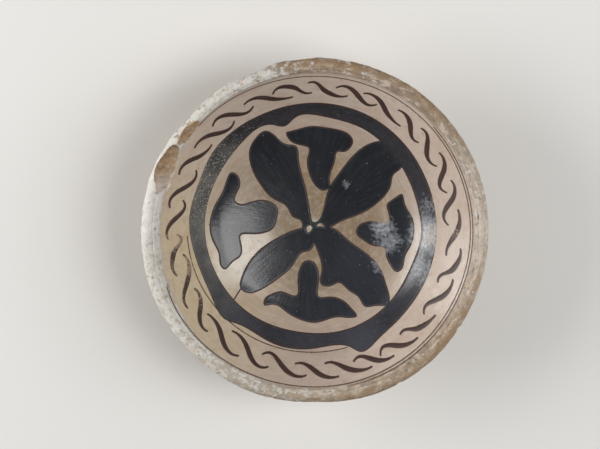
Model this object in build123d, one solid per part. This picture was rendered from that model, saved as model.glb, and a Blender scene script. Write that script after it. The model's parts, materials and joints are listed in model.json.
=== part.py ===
from build123d import *
import os
from math import asin, cos, degrees, hypot, pi, radians, sin, sqrt

# Painted earthenware bowl. Millimetres, +Z up, origin on the table under the bowl's axis.
# Seen from above, +X is right and +Y is up, and plan angles run anticlockwise from +X, in degrees.

# Thrown clay body
rim_diameter = 150.0
height = 45.0
wall = 6.5                # thickness of wall and floor, the same all over
wall_slope = 48.0         # degrees that the straight wall climbs at
floor_bend = 185.0        # radius of the gently dished floor
knee_radius = 30.0        # inside bend from floor to wall

# Ring foot, luted under the floor
foot_diameter = 60.0
foot_width = 6.0
foot_clearance = 6.0      # from the table to the underside of the floor's middle
foot_splay = 9.0          # degrees that the foot leans outwards, on its way down
foot_edge = 0.8           # rounding of the two edges that meet the table

# Slip and paint
slip = 0.4
slip_lap = 0.9            # how far the slip runs on past the inner edge of the lip
paint = 0.2
paint_bed = 0.08          # clear space between slip and paint, so that neither cuts into the other

# Painted rings, in plan
line_drop = 1.8           # from the inner edge of the lip to the middle of the rim line
line_width = 0.42
line_sweep = (200.0, 506.0)
second_pass_gap = 0.9     # the second turn of the rim line runs this far outside the first
second_pass_sweep = (283.0, 402.0)
border_width = 12.8       # from the band to the rim line, where the running wave is
band_width = 6.8
guide_gap = 0.3           # from the band's nominal edge to the middle of the guide line
guide_sweep = (183.0, 286.0)
ornament_shift = (-0.5, -0.5)   # the thin lines' common centre lies this far off the bowl's axis

# Scoop-shaped chips in the inner side of the lip: plan angle, scoop radius and depth
lip_chips = [(142.0, 13.0, 1.5), (155.5, 14.0, 2.9)]
chip_lean = 30.0          # degrees that the scoops are tipped towards the bowl's inside

# Running wave, drawn in a border of this width
drawn_border = 12.8
stroke_width = 2.0        # at the middle of a stroke
stroke_bend_width = 1.3   # in the bends on both sides of the middle
stroke_end_width = 0.8

# Each stroke of the wave: the plan angles where it starts, is half way up and ends, how far its foot
# and its head lie outside the band, how far its start curls up, and how far its end droops
wave_strokes = [
    (348.5, 357.0, 368.0, 4.2, 8.2, 0.0, 0.2),
    (1.5, 11.0, 20.0, 2.2, 8.3, 1.5, 0.2),
    (15.5, 23.5, 32.0, 3.0, 8.6, 1.8, 0.0),
    (27.5, 37.0, 44.0, 3.3, 8.9, 1.5, 0.0),
    (40.0, 47.0, 55.5, 3.3, 8.6, 0.7, 0.1),
    (50.5, 60.5, 70.5, 3.5, 8.7, 0.0, 0.5),
    (64.0, 72.5, 81.5, 4.1, 8.9, 1.6, 1.2),
    (76.5, 87.0, 92.5, 4.0, 9.3, 0.9, 0.0),
    (91.5, 97.0, 107.0, 4.7, 9.1, 0.0, 2.0),
    (99.5, 109.5, 119.0, 3.6, 8.2, 0.0, 0.4),
    (116.5, 125.0, 134.0, 3.9, 9.4, 1.1, 0.9),
    (126.5, 136.0, 145.0, 2.5, 8.2, 1.3, -0.2),
    (140.5, 149.0, 157.0, 3.1, 8.8, 0.0, 0.0),
    (153.5, 162.5, 170.5, 1.6, 9.0, 1.1, 0.2),
    (167.5, 175.0, 183.0, 2.5, 9.1, 1.2, 0.2),
    (182.0, 187.5, 198.0, 3.3, 8.9, 1.6, 0.6),
    (191.0, 203.0, 211.0, 2.3, 9.4, 1.2, -0.5),
    (206.5, 215.0, 223.0, 3.3, 9.5, 0.5, 0.0),
    (218.5, 229.0, 238.5, 4.6, 10.0, 0.4, 0.5),
    (231.5, 241.5, 251.0, 2.9, 9.5, 0.2, 0.8),
    (247.5, 256.0, 266.5, 3.6, 9.6, 1.4, 0.4),
    (262.0, 270.0, 279.0, 5.0, 10.0, 0.3, -0.2),
    (274.5, 282.0, 292.5, 5.0, 9.9, 0.0, -0.2),
    (286.5, 293.5, 302.0, 5.2, 9.9, 0.9, -0.3),
    (297.5, 305.0, 313.5, 5.6, 9.9, 2.1, -0.4),
    (309.0, 314.5, 324.5, 5.1, 9.1, 0.1, -0.6),
    (322.0, 330.0, 340.0, 4.9, 9.3, 1.2, 0.1),
    (336.5, 342.0, 352.5, 4.2, 9.2, 0.1, 0.1),
]

# The band's hand-drawn edges: plan angle, and how far the edge wanders out of its nominal circle
band_outer_wander = {
    0: -0.7, 25: -1.1, 45: -0.7, 65: -0.1, 90: 0.1, 115: 0.1, 143: 0.7, 158: -0.5,
    175: 0.1, 192: -0.9, 204: -1.1, 214: -0.2, 226: 1.5, 231: 0.0, 250: 0.0, 270: -0.5,
    283: -0.6, 286.5: 0.8, 290: 3.6, 299: 2.5, 309: 1.1, 322: 0.4, 342: -0.2,
}
band_inner_wander = {
    0: -0.2, 25: -1.3, 45: -0.7, 62: 0.1, 85: 0.6, 100: 0.4, 106: -2.2, 112: 0.3,
    130: 0.7, 145: -0.3, 172: 0.0, 205: 0.1, 233: 0.4, 265: 0.2, 287: 0.9, 318: 0.2,
    338: -0.7,
}

# Petals and buds of the rosette, drawn in a medallion of this radius
drawn_medallion = 48.0
petals = {
    "petal_upper_left": [
        (-0.5, 2.0), (-1.5, 8.0), (-3.0, 16.0), (-5.0, 23.0), (-6.3, 30.0), (-7.5, 35.0), (-12.0, 36.0),
        (-17.5, 40.5), (-21.5, 42.2), (-25.5, 39.0), (-28.2, 34.0), (-28.3, 29.0), (-26.5, 23.0),
        (-22.5, 16.2), (-17.5, 11.0), (-11.5, 7.2), (-8.5, 2.5), (-5.5, 1.2), (-4.7, -0.4), (-4.4, -2.5),
        (-3.1, -2.9), (-2.5, -1.7), (-1.4, -1.1), (-0.3, -0.9), (0.1, 0.3),
    ],
    "petal_upper_right": [
        (-0.6, 1.2), (2.0, 0.8), (3.3, 2.2), (4.0, 4.0), (5.2, 8.5), (6.6, 14.5), (10.5, 21.2), (15.0, 27.5),
        (20.0, 33.0), (26.0, 36.8), (33.0, 37.5), (39.0, 31.0), (38.5, 24.8), (36.0, 22.5), (34.8, 17.5),
        (32.0, 12.3), (26.5, 7.2), (20.0, 3.5), (13.0, 0.8), (8.6, -1.7), (5.7, -2.3), (4.9, -1.0),
        (3.7, -0.1), (2.4, -0.5), (1.5, -2.1), (0.0, -2.1), (-0.8, -0.6),
    ],
    "petal_lower_right": [
        (0.2, -2.0), (2.4, -1.4), (4.5, -1.6), (8.8, -2.0), (15.0, -6.6), (22.0, -11.9), (27.5, -16.4),
        (31.0, -21.5), (33.0, -27.5), (34.0, -31.0), (33.5, -35.5), (28.0, -36.6), (23.0, -37.0),
        (20.5, -33.3), (16.0, -30.2), (11.7, -26.9), (8.5, -28.2), (3.7, -27.6), (3.9, -21.0),
        (3.2, -16.0), (1.5, -11.2), (-0.5, -6.0),
    ],
    "petal_lower_left": [
        (-1.0, -3.6), (-2.2, -4.2), (-3.0, -2.6), (-5.8, -2.2), (-12.0, -4.4), (-18.7, -7.9),
        (-24.6, -12.2), (-29.0, -17.4), (-32.2, -24.0), (-32.6, -28.2), (-29.4, -30.7), (-26.0, -30.6),
        (-20.5, -28.1), (-14.3, -24.0), (-8.4, -18.3), (-4.2, -13.2), (-1.2, -12.4), (0.8, -9.5),
        (0.6, -5.0),
    ],
}
buds = {
    "bud_top": [
        (-11.5, 41.6), (-6.0, 43.0), (-0.6, 44.1), (5.0, 43.6), (12.0, 42.3), (16.2, 40.1), (17.7, 37.1),
        (16.5, 34.0), (13.3, 32.2), (11.0, 32.3), (10.0, 29.0), (8.5, 24.0), (7.7, 19.0), (7.8, 16.5),
        (5.4, 14.7), (2.0, 16.0), (-0.8, 20.0), (-2.4, 25.0), (-2.5, 30.0), (-2.0, 34.0), (-4.5, 35.0),
        (-8.5, 36.2), (-10.8, 38.0),
    ],
    "bud_right": [
        (19.4, -3.8), (20.7, -0.8), (23.5, 0.7), (29.0, 0.7), (33.6, 0.6), (34.0, 3.5), (33.0, 8.7),
        (36.0, 11.5), (39.6, 13.6), (40.8, 9.8), (43.9, 3.8), (45.1, -2.0), (43.6, -9.6), (41.0, -15.1),
        (39.4, -20.5), (37.5, -21.5), (34.5, -18.5), (32.7, -14.0), (32.3, -11.4), (27.4, -10.2),
        (22.5, -7.6),
    ],
    "bud_bottom": [
        (-5.3, -18.8), (-2.5, -16.7), (0.5, -17.5), (2.5, -21.0), (2.8, -27.0), (3.0, -33.0), (6.0, -33.0),
        (10.5, -33.2), (14.8, -35.3), (17.5, -38.0), (19.6, -41.2), (16.5, -42.1), (11.0, -41.9),
        (5.5, -43.3), (0.3, -44.3), (-5.0, -43.2), (-12.0, -39.6), (-18.8, -36.2), (-22.0, -36.2),
        (-22.0, -34.0), (-18.4, -31.3), (-14.5, -30.3), (-10.0, -31.9), (-7.4, -32.2), (-6.8, -28.0),
        (-6.5, -22.0),
    ],
    "bud_left": [
        (-35.1, 23.5), (-33.0, 21.5), (-32.4, 17.5), (-34.3, 13.2), (-34.7, 11.0), (-32.5, 9.3),
        (-28.0, 10.0), (-24.5, 10.8), (-18.5, 9.8), (-16.0, 7.5), (-16.0, 2.0), (-18.0, -2.5),
        (-22.0, -4.3), (-28.5, -4.6), (-32.0, -4.9), (-31.7, -10.0), (-32.5, -14.5), (-36.0, -17.0),
        (-39.6, -19.8), (-41.2, -18.4), (-42.0, -13.7), (-44.6, -7.3), (-46.0, -2.0), (-45.4, 4.8),
        (-43.0, 10.5), (-39.5, 17.0),
    ],
}
# A brush trail that joins the lower left petal to the band: its two ends, and its width
trail_ends = [(-31.5, -27.5), (-36.5, -34.5)]
trail_width = 0.6


def inward(slope):
    """Unit normal into the hollow, in radius and height, where the section climbs at this slope."""
    return Vector(-sin(radians(slope)), cos(radians(slope)))


# The bowl's section, in radius and height: a dished floor, a knee, a straight wall and a round lip
lip_radius = wall / 2
lip_centre = Vector(rim_diameter / 2 - lip_radius, height - lip_radius)
lip_start = lip_centre + inward(wall_slope) * lip_radius
floor_height = foot_clearance + wall
floor_centre = Vector(0, floor_height + floor_bend)

# The knee's centre lies one knee radius off the wall, and a knee radius short of the floor's bend
down_wall = -inward(wall_slope - 90)
above_lip = lip_start + inward(wall_slope) * knee_radius - floor_centre
along = above_lip.dot(down_wall)
reach = sqrt(along**2 - above_lip.length**2 + (floor_bend - knee_radius) ** 2) - along
knee_centre = floor_centre + above_lip + down_wall * reach
floor_slope = degrees(asin(knee_centre.X / hypot(knee_centre.X, floor_centre.Y - knee_centre.Y)))

# Radii of the painted rings
line_radius = lip_start.X - line_drop
band_outer_radius = line_radius - border_width
band_inner_radius = band_outer_radius - band_width
guide_radius = band_outer_radius + guide_gap


def section_curve(offset):
    """The inside of the bowl from its axis to its lip, moved into the hollow by this offset."""
    floor = CenterArc(floor_centre, floor_bend - offset, -90, floor_slope)
    knee = CenterArc(knee_centre, knee_radius - offset, floor_slope - 90, wall_slope - floor_slope)
    return floor + knee + Line(knee @ 1, lip_start + inward(wall_slope) * offset)


def turned(outline):
    """The solid that a closed outline of radius and height makes round the bowl's axis."""
    return revolve(Plane.XZ * make_face(outline), Axis.Z)


def lip_point(turn, radius):
    """A point round the lip, by degrees from its inner edge and distance from its middle."""
    return lip_centre + inward(wall_slope - turn) * radius


def cut_chips(shape):
    """Scoops the chips out of the lip."""
    for angle, scoop_radius, depth in lip_chips:
        seat = lip_centre + inward(chip_lean) * (lip_radius + scoop_radius - depth)
        shape -= Rot(0, 0, angle) * Pos(seat.X, 0, seat.Y) * Sphere(scoop_radius)
    return shape


def bowl_body():
    """Wall, floor and rounded lip, with the chips."""
    inside = section_curve(0)
    outside = section_curve(-wall)
    lip = ThreePointArc(inside @ 1, lip_point(90, lip_radius), outside @ 1)
    return cut_chips(turned(inside + lip + outside + Line(outside @ 0, inside @ 0)))


def foot_ring():
    """A splayed ring that stands on the table and fits the curved underside of the floor."""
    outside = section_curve(-wall)
    edge = outside @ 1
    under_bowl = turned(outside + Polyline(edge, (edge.X, 0), (0, 0), outside @ 0))
    outer = foot_diameter / 2
    inner = outer - foot_width
    lean = inward(foot_splay) * height
    ring = turned(Polyline((inner, 0), (outer, 0), (outer + lean.X, lean.Y), (inner + lean.X, lean.Y), close=True))
    ring = ring & under_bowl
    return fillet(ring.edges().group_by(Axis.Z)[0], foot_edge)


def slip_coat():
    """The pale coat over the inside, lapped a little way onto the lip."""
    lap = degrees(slip_lap / lip_radius)
    under = section_curve(0)
    over = section_curve(slip)
    seat = ThreePointArc(under @ 1, lip_point(lap / 2, lip_radius), lip_point(lap, lip_radius))
    crown = ThreePointArc(over @ 1, lip_point(lap / 2, lip_radius + slip), lip_point(lap, lip_radius + slip))
    edge = Line(seat @ 1, crown @ 1)
    return cut_chips(turned(under + seat + edge + crown + over + Line(over @ 0, under @ 0)))


def smooth_curve(offset, steps=30):
    """The same inside curve as one spline, so that no painted edge runs along a join between its arcs."""
    curve = Wire(section_curve(offset).edges())
    points = [curve @ (index / steps) for index in range(steps + 1)]
    return Spline(*points, tangents=[curve % 0, curve % 1])


def paint_coat():
    """The thin layer on the slip that all the paint lies in."""
    under = smooth_curve(slip + paint_bed)
    over = smooth_curve(slip + paint_bed + paint)
    return cut_chips(turned(under + Line(under @ 1, over @ 1) + over + Line(over @ 0, under @ 0)))


def polar(radius, angle):
    """Plan point at this radius and angle."""
    return Vector(radius * cos(radians(angle)), radius * sin(radians(angle)))


def wandering_disc(radius, wander):
    """A disc whose hand-drawn edge wanders in and out of its circle."""
    return make_face(Spline(*[polar(radius + step, angle) for angle, step in wander.items()], periodic=True))


def brushed(points, widths):
    """The mark of a brush drawn through these points, with its width at even steps along the way."""
    path = Spline(*points)
    left, right = [], []
    for index, width in enumerate(widths):
        share = index / (len(widths) - 1)
        side = (path % share).rotate(Axis.Z, 90) * (width / 2)
        left.append(path @ share + side)
        right.append(path @ share - side)
    start = ThreePointArc(right[0], path @ 0 - (path % 0) * (widths[0] / 2), left[0])
    end = ThreePointArc(left[-1], path @ 1 + (path % 1) * (widths[-1] / 2), right[-1])
    return make_face(start + Spline(*left) + end + Spline(*right))


def wave_stroke(start, middle, end, foot, head, curl, droop):
    """One S of the running wave: a curled start, a dip, a climb and a drooping end."""
    climb = head - foot
    up_to_middle = {0.0: foot + curl, 0.3: foot, 0.68: foot + 0.14 * climb, 1.0: foot + 0.5 * climb}
    on_to_end = {0.27: foot + 0.81 * climb, 0.55: head, 1.0: head - droop}
    rises = [(start + share * (middle - start), rise) for share, rise in up_to_middle.items()]
    rises += [(middle + share * (end - middle), rise) for share, rise in on_to_end.items()]
    fill = border_width / drawn_border
    points = [polar(band_outer_radius + rise * fill, angle) for angle, rise in rises]
    half = [stroke_end_width, stroke_bend_width, stroke_width]
    return brushed(points, half + half[::-1])


def wheel_line(radius, sweep, steps=8):
    """A thin line drawn on the turning wheel, from the first angle of the sweep to the second."""
    start, end = sweep
    angles = [start + (end - start) * index / steps for index in range(steps + 1)]
    points = [Vector(*ornament_shift) + polar(radius, angle) for angle in angles]
    return brushed(points, [line_width] * (2 * steps + 1))


def motif(points):
    """A closed brush-drawn shape, drawn to fill the band's medallion."""
    fill = band_inner_radius / drawn_medallion
    return make_face(Spline(*[Vector(x, y) * fill for x, y in points], periodic=True))


def brush_trail():
    """The thin trail from the lower left petal to the band."""
    fill = band_inner_radius / drawn_medallion
    return brushed([Vector(x, y) * fill for x, y in trail_ends], [trail_width] * 3)


def ornament():
    """Plan shape of every painted mark. Where two marks meet, the later one stops at the earlier."""
    medallion = wandering_disc(band_inner_radius, band_inner_wander)
    band = wandering_disc(band_outer_radius, band_outer_wander) - medallion
    marks = {"broad_band": band}
    laid = None
    for name, points in {**petals, **buds}.items():
        mark = motif(points)
        if name == "petal_lower_left":
            mark += brush_trail()
        mark = mark & medallion
        marks[name] = mark if laid is None else mark - laid
        laid = mark if laid is None else laid + mark
    marks["band_guide_line"] = wheel_line(guide_radius, guide_sweep) - band
    marks["rim_line"] = wheel_line(line_radius, line_sweep)
    marks["rim_line_second_pass"] = wheel_line(line_radius + second_pass_gap, second_pass_sweep)
    for index, stroke in enumerate(wave_strokes, 1):
        marks[f"wave_stroke_{index:02d}"] = wave_stroke(*stroke)
    return marks


def main():
    parts = {"bowl_body": bowl_body(), "foot_ring": foot_ring(), "slip_coat": slip_coat()}
    coat = paint_coat()
    for name, mark in ornament().items():
        parts[name] = extrude(mark, height) & coat
    os.makedirs("parts", exist_ok=True)
    for name, shape in parts.items():
        export_step(shape, f"parts/{name}.step")
    print("floor slope at the knee", round(floor_slope, 1))
    print("radii of line and band", round(line_radius, 1), round(band_outer_radius, 1), round(band_inner_radius, 1))


main()
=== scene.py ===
# %% [markdown]
# # A painted earthenware bowl
#
# The potter threw this bowl in buff clay, coated the inside with pale slip, and painted it with
# darker slips. The notebook follows the same order: the turned clay first, then the slip, then
# each stroke of paint. Slip and paint could be colours on one mesh. Here every layer is real
# geometry, because a coat of slip has a thickness and an edge, and a raking light shows both.

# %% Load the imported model
import json
import math
import bmesh
import bpy
import numpy as np
from mathutils import Matrix, Vector, noise

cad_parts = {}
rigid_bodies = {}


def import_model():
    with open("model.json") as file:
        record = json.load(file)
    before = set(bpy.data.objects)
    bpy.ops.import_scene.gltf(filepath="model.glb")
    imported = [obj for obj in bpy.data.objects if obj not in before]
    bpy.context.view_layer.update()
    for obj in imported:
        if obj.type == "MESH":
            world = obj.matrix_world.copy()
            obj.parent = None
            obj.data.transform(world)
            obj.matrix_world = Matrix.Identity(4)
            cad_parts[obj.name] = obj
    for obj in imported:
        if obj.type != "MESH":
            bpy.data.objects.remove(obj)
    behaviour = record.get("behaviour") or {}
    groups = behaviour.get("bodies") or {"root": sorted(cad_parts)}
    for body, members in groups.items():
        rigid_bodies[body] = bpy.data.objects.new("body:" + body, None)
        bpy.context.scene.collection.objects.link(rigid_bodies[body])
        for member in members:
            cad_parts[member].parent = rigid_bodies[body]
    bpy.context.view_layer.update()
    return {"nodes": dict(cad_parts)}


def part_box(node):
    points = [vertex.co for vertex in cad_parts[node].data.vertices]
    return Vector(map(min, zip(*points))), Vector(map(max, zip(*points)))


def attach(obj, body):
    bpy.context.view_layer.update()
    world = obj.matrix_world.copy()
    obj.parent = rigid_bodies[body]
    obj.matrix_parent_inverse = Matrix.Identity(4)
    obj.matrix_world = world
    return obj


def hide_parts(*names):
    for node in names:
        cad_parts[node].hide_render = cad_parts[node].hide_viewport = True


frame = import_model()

MM = 0.001
print("CAD nodes:", len(frame["nodes"]))

# %% [markdown]
# ## The section of the pot
#
# A thrown bowl is one drawn line turned about the wheel's axis. The line is two arcs and a
# straight wall, with a round lip, and the outside runs parallel to the inside. It could be drawn
# by eye. Its rim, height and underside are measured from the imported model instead, so the pieces
# land where the CAD has them.

# %% Measure the body
lowest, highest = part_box("bowl_body")
rim_radius = highest.x
height = highest.z
underside = lowest.z
wall = 6.5 * MM
slope = math.radians(48)
floor_bend = 185 * MM
knee = 30 * MM
print("rim %.1f mm from the axis, %.1f mm high" % (rim_radius / MM, height / MM))

# %% Work out the section


def into_hollow(lean):
    """The direction out of the inner face, where the face leans this much."""
    return Vector((-math.sin(lean), 0, math.cos(lean)))


lip_radius = wall / 2
lip_centre = Vector((rim_radius - lip_radius, 0, height - lip_radius))
lip_start = lip_centre + into_hollow(slope) * lip_radius
floor_centre = Vector((0, 0, underside + wall + floor_bend))
down_wall = -Vector((math.cos(slope), 0, math.sin(slope)))
# The knee touches the wall and the floor, so its centre lies on a line beside the wall and on a
# circle about the floor's centre
above = lip_start + into_hollow(slope) * knee - floor_centre
along = above.dot(down_wall)
to_knee = math.sqrt(along ** 2 - above.length_squared + (floor_bend - knee) ** 2) - along
knee_centre = floor_centre + above + down_wall * to_knee
floor_slope = math.atan2(knee_centre.x, floor_centre.z - knee_centre.z)
floor_edge = floor_bend * math.sin(floor_slope)
knee_end = knee_centre.x + knee * math.sin(slope)
wall_rise = lip_start.z - knee_centre.z + knee * math.cos(slope)
wall_length = math.hypot(lip_start.x - knee_end, wall_rise)
print("floor to %.1f mm, wall from %.1f mm, lip from %.1f mm" %
      (floor_edge / MM, knee_end / MM, lip_start.x / MM))

# %% Height of the inner face


def inside(radius):
    """Height of the clay's inner face at this distance from the axis, and how much it leans there."""
    if radius < floor_edge:
        lean = math.asin(radius / floor_bend)
        return floor_centre.z - floor_bend * math.cos(lean), lean
    if radius < knee_end:
        lean = math.asin((radius - knee_centre.x) / knee)
        return knee_centre.z - knee * math.cos(lean), lean
    return lip_start.z - (lip_start.x - radius) * math.tan(slope), slope


print("inner face at the axis: %.1f mm up" % (inside(0)[0] / MM))

# %% [markdown]
# ## What the years did to the turned form
#
# The outer lip is knocked back along the upper left, where two chips have broken out of it, and it
# stands a little proud at the lower right. This could be sculpted on each mesh. One function moves
# any point of the pot with that wear instead, so the clay, the slip and the paint stay on each
# other. Another pushes points out of the chips onto their broken faces.

# %% Wear of the rim
# How far the lip is worn back, in millimetres, for angles in degrees from the right, anticlockwise
rim_wear = {0: 0.0, 20: 0.1, 48: 0.3, 58: 0.15, 67: 0.4, 76: 0.2, 84: 0.3, 89: 0.0, 95: 0.7, 102: 0.35,
            106: 1.0, 110: 1.6, 115: 1.5, 120: 0.9, 127: 1.15, 133: 1.5, 138: 2.05, 142: 1.4, 146: 0.8,
            150: 0.8, 155: 0.3, 162: 0.0, 168: 0.2, 176: 0.0, 198: -0.35, 228: -0.45, 250: -0.8,
            260: -0.4, 270: 0.0, 278: -0.6, 288: -1.3, 300: -1.6, 312: -1.4, 326: -0.8, 345: -0.3, 360: 0.0}
# One entry for each degree, with two spare ones at each end for the blur and the last step
spare = 2
turns = np.arange(-spare, 361 + spare)
wear_table = np.interp(turns % 360, list(rim_wear), list(rim_wear.values()))
wear_table = np.convolve(wear_table, [0.25, 0.5, 0.25], mode="same").tolist()
# The wear starts at the top of the wall and is full at the outer lip, and the rim stays inside the
# CAD's box where it stands proud
wear_starts = 66 * MM
wear_full = 74.5 * MM
widest = rim_radius - 0.02 * MM
print("rim worn back by up to %.1f mm" % max(wear_table))

# %% Settle a point on the worn pot


def smooth(value, low, high):
    """Rises from 0 at low to 1 at high, with soft ends."""
    part = min(max((value - low) / (high - low), 0), 1)
    return part * part * (3 - 2 * part)


def settle(point):
    """Where a point of the true turned form lies on the worn pot."""
    radius = math.hypot(point.x, point.y)
    outer = smooth(radius, wear_starts, wear_full)
    if outer == 0:
        return point
    turn = math.degrees(math.atan2(point.y, point.x)) % 360
    step = int(turn)
    before, after = wear_table[step + spare:step + spare + 2]
    worn = before + (after - before) * (turn - step)
    share = 1 - worn * MM * outer / radius
    x = max(-widest, min(widest, point.x * share))
    y = max(-widest, min(widest, point.y * share))
    return Vector((x, y, point.z))


left_rim = settle(Vector((-rim_radius, 0, height)))
print("left end of the rim settles at %.2f mm" % (left_rim.x / MM))

# %% Chips in the lip
# The two chips are four scoops: angle from the right and lean up the lip in degrees, radius and
# depth in millimetres
scoops = [(142, 28, 13, 1.5), (155.5, 25, 14, 2.8), (150.6, 22, 5, 2.0), (161, 46, 9, 1.1)]
chips = []
for plan_angle, lean, scoop_radius, depth in scoops:
    seat = lip_centre + into_hollow(math.radians(lean)) * (lip_radius + (scoop_radius - depth) * MM)
    chips.append((Matrix.Rotation(math.radians(plan_angle), 3, "Z") @ seat, scoop_radius * MM))
# Broken clay is rough at three sizes: height and width of the lumps in millimetres
break_lumps = [(0.7, 6), (0.3, 1.6), (0.12, 0.7)]
bare_fade = 0.5 * MM


def chipped(point, sink):
    """Pushes a point inside a chip onto the broken face, and tells how bare the clay is there."""
    bare = 0.0
    rough = sum(lump * noise.noise(point / (width * MM)) for lump, width in break_lumps)
    for centre, radius in chips:
        away = point - centre
        break_face = radius + rough * MM + sink
        bare = max(bare, 1 - smooth(away.length, break_face, break_face + bare_fade))
        if away.length < break_face:
            point = centre + away.normalized() * break_face
    return point, bare


print("scoops at", [tuple(round(v / MM, 1) for v in centre) for centre, radius in chips])

# %% [markdown]
# ## Small helpers for colour and nodes
#
# Colours are written as sRGB hex, as they are read from a picture, and the shader needs them as
# linear light. Nodes could be placed by hand in the editor. One function adds a node with its
# settings and links instead, so a finish reads from top to bottom. Sockets are given by number
# where names repeat. In Map Range, 0 is the value, 1 and 2 the range it comes from, and 3 and 4
# the range it goes to. In Mix, 0 is the share, 2 and 3 are two numbers, and 6 and 7 two colours.

# %% Colours


def linear(hex_colour):
    """An sRGB hex colour as linear RGBA."""
    parts = [int(hex_colour[i:i + 2], 16) / 255 for i in (1, 3, 5)]
    return [p / 12.92 if p <= 0.04045 else ((p + 0.055) / 1.055) ** 2.4 for p in parts] + [1.0]


print("mid grey as linear light: %.3f" % linear("#808080")[0])

# %% Nodes and materials


def add(tree, kind, links=None, stops=None, **settings):
    """Adds a node. A link is a socket to join, a hex colour or a plain value."""
    made = tree.nodes.new(kind)
    for name, value in settings.items():
        setattr(made, name, value)
    for position, value in stops or []:
        colour = linear(value) if isinstance(value, str) else (value, value, value, 1)
        made.color_ramp.elements.new(position).color = colour
    if stops:
        # A new ramp comes with a stop at each end
        made.color_ramp.elements.remove(made.color_ramp.elements[-1])
        made.color_ramp.elements.remove(made.color_ramp.elements[0])
    for socket, value in (links or {}).items():
        if isinstance(value, bpy.types.NodeSocket):
            tree.links.new(value, made.inputs[socket])
        else:
            made.inputs[socket].default_value = linear(value) if isinstance(value, str) else value
    return made


def new_material(name):
    """An empty node material with its shader, and the object's own coordinates in metres."""
    material = bpy.data.materials.new(name)
    material.use_nodes = True
    tree = material.node_tree
    shader = tree.nodes["Principled BSDF"]
    here = add(tree, "ShaderNodeTexCoord").outputs["Object"]
    return material, tree, shader, here


def per(size):
    """Texture scale at which one blotch measures about this many millimetres."""
    return 1 / (size * MM)


print("texture scale for blotches of 2 mm:", per(2))

# %% [markdown]
# ## Patterns seen from above
#
# Wiping, brushing and wear on a bowl follow the wheel, or lie at one place. Such patterns could be
# painted on an unwrapped map. Here they come from the plan: a point's distance and heading from
# the axis give streaks round the pot or along the petals, and its distance from a chosen place
# gives a soft spot.

# %% Plan and streaks


def plan(tree, here):
    """A point's place in plan, its distance from the axis, and its heading from the axis."""
    flat = add(tree, "ShaderNodeVectorMath", {0: here, 1: (1.0, 1.0, 0.0)}, operation="MULTIPLY").outputs[0]
    radius = add(tree, "ShaderNodeVectorMath", {0: flat}, operation="LENGTH").outputs["Value"]
    heading = add(tree, "ShaderNodeVectorMath", {0: flat}, operation="NORMALIZE").outputs[0]
    return flat, radius, heading


def streaks(tree, heading, turn_size, outwards):
    """Coordinates for streaks, in which going round the pot counts as a circle of this radius."""
    turn = add(tree, "ShaderNodeVectorMath", {0: heading, "Scale": turn_size}, operation="SCALE").outputs[0]
    across = add(tree, "ShaderNodeCombineXYZ", {"Z": outwards}).outputs[0]
    return add(tree, "ShaderNodeVectorMath", {0: turn, 1: across}, operation="ADD").outputs[0]


print("made:", plan.__name__, streaks.__name__)

# %% Soft spots


def spot(tree, flat, x, y, reach, core, strength):
    """Nothing beyond the reach of a place in plan, and full strength within its core, in mm."""
    gap = add(tree, "ShaderNodeVectorMath", {0: flat, 1: (x * MM, y * MM, 0)}, operation="DISTANCE")
    fade = {1: reach * MM, 2: core * MM, 3: 0.0, 4: strength}
    return add(tree, "ShaderNodeMapRange", {0: gap.outputs["Value"], **fade}).outputs[0]


def tinted(tree, flat, seen, places, core):
    """Lays soft spots of colour over a look: plan place, reach, strength and colour of each."""
    for x, y, reach, strength, tone in places:
        tint = spot(tree, flat, x, y, reach, core * reach, strength)
        seen = add(tree, "ShaderNodeMix", {0: tint, 6: seen, 7: tone}, data_type="RGBA").outputs[2]
    return seen


def strongest(tree, flat, places, core):
    """The strongest of some soft spots at each point: plan place, reach and strength of each."""
    most = 0.0
    for x, y, reach, strength in places:
        one = spot(tree, flat, x, y, reach, core * reach, strength)
        most = add(tree, "ShaderNodeMath", {0: most, 1: one}, operation="MAXIMUM").outputs[0]
    return most


print("made:", spot.__name__, tinted.__name__, strongest.__name__)

# %% [markdown]
# ## Small helper for pieces
#
# A finished bmesh becomes a piece that rides on the frame and stands for its CAD nodes. Its faces
# could be left flat, but turned clay is round, so they are smooth, apart from sharp edges.

# %% Place a piece
sharp = math.radians(50)


def place(bm, name, material, slot, *stands_for):
    """Makes a bmesh into a piece that rides on the frame and stands for these CAD nodes."""
    for face in bm.faces:
        face.smooth = True
    for edge in bm.edges:
        edge.smooth = edge.calc_face_angle(0) < sharp
    mesh = bpy.data.meshes.new(name)
    bm.to_mesh(mesh)
    bm.free()
    mesh.materials.append(material)
    piece = bpy.data.objects.new(name, mesh)
    bpy.context.scene.collection.objects.link(piece)
    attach(piece, "root")
    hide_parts(*stands_for)
    return piece


print("edges turned by more than %.0f degrees stay sharp" % math.degrees(sharp))

# %% [markdown]
# ## Tracing and turning
#
# A profile could be a list of worked-out points. Here it grows from one vertex: each arc is a spin
# of the last vertex about that arc's centre, and each straight is a spin of no angle that moves
# along in steps. Spinning the finished profile about the pot's axis is what the wheel does.

# %% Trace a profile and turn it
weld = 1e-6


def arc_on(bm, vertex, centre, angle, steps):
    """Carries the profile on from its last vertex along an arc."""
    made = bmesh.ops.spin(bm, geom=[vertex], cent=centre, axis=(0, 1, 0), angle=angle, steps=steps)
    return [part for part in made["geom_last"] if isinstance(part, bmesh.types.BMVert)][0]


def line_on(bm, vertex, move, steps):
    """Carries the profile on from its last vertex along a straight."""
    made = bmesh.ops.spin(bm, geom=[vertex], cent=(0, 0, 0), axis=(0, 1, 0), dvec=move / steps, steps=steps)
    return [part for part in made["geom_last"] if isinstance(part, bmesh.types.BMVert)][0]


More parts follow.
